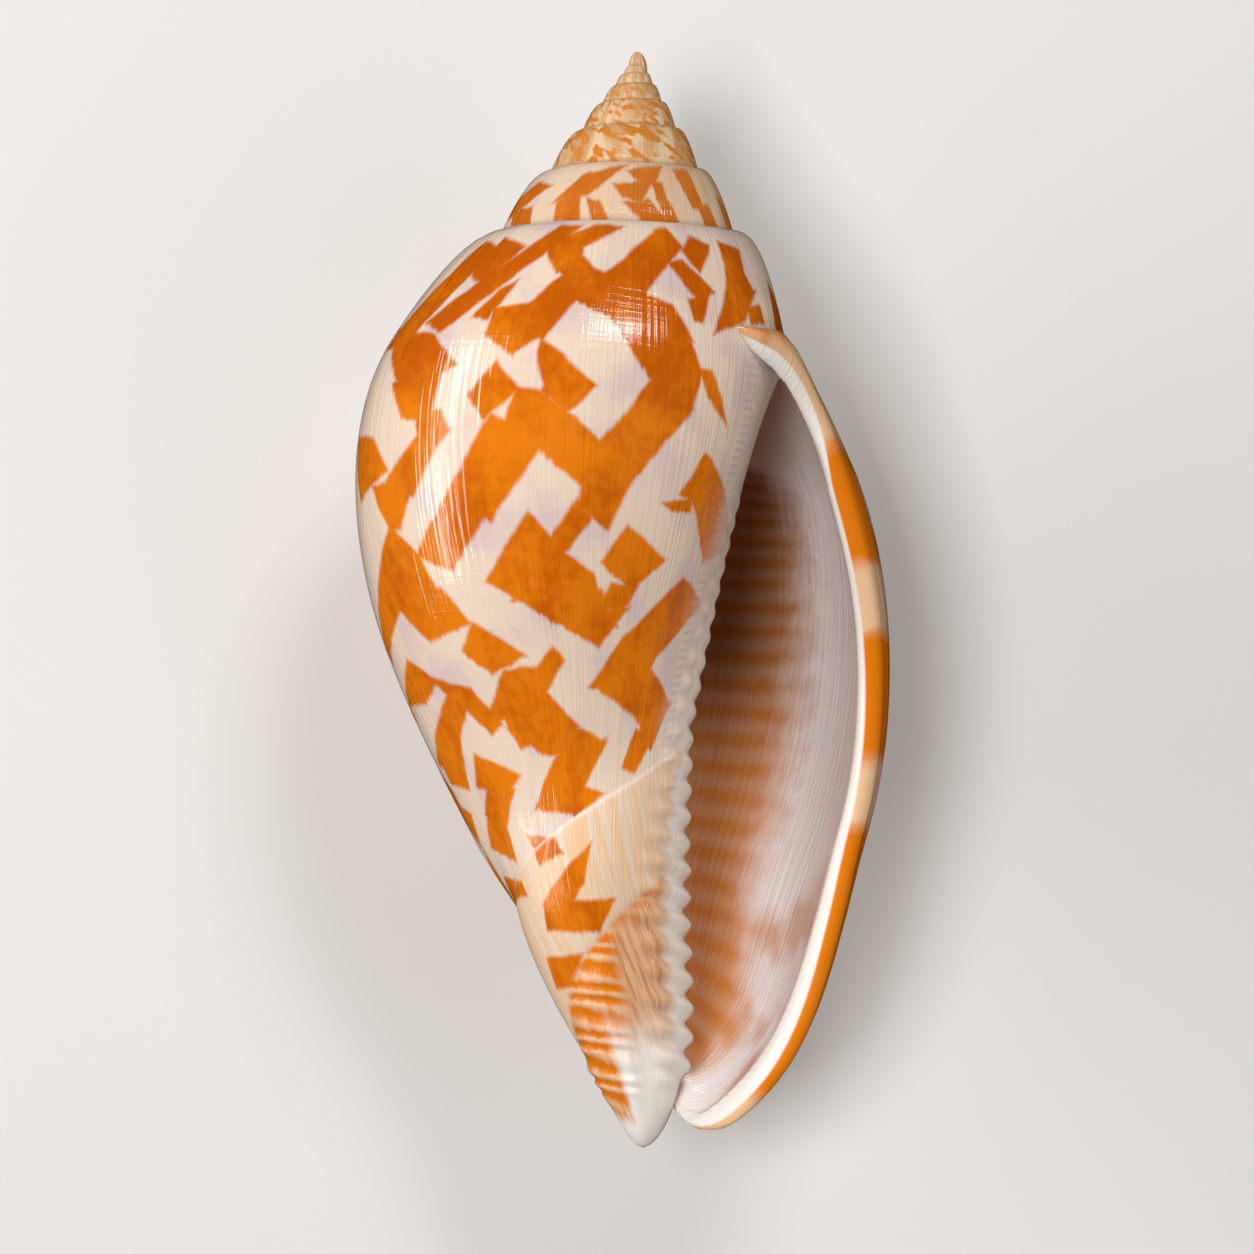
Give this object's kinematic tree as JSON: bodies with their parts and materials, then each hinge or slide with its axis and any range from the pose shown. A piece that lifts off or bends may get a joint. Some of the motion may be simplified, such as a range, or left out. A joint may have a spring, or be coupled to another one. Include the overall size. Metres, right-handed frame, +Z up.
{
  "type": "volute shell",
  "caption": "Glossy spindle-shaped sea-snail shell with a pointed spire, a long toothed mouth and an orange zigzag pattern, lying on its back.",
  "frame": {"origin": "centre of the bounding box's bottom face, on the table that the shell lies on", "axes": "+Y along the coil axis towards the apex of the spire, +Z up out of the mouth, +X towards the outer lip"},
  "size_m": [0.0439, 0.09, 0.0404],
  "materials": {
    "shell": "glossy cream shell with orange blocks and zigzags"
  },
  "bodies": {
    "root": {"shell": "shell"}
  },
  "joints": []
}
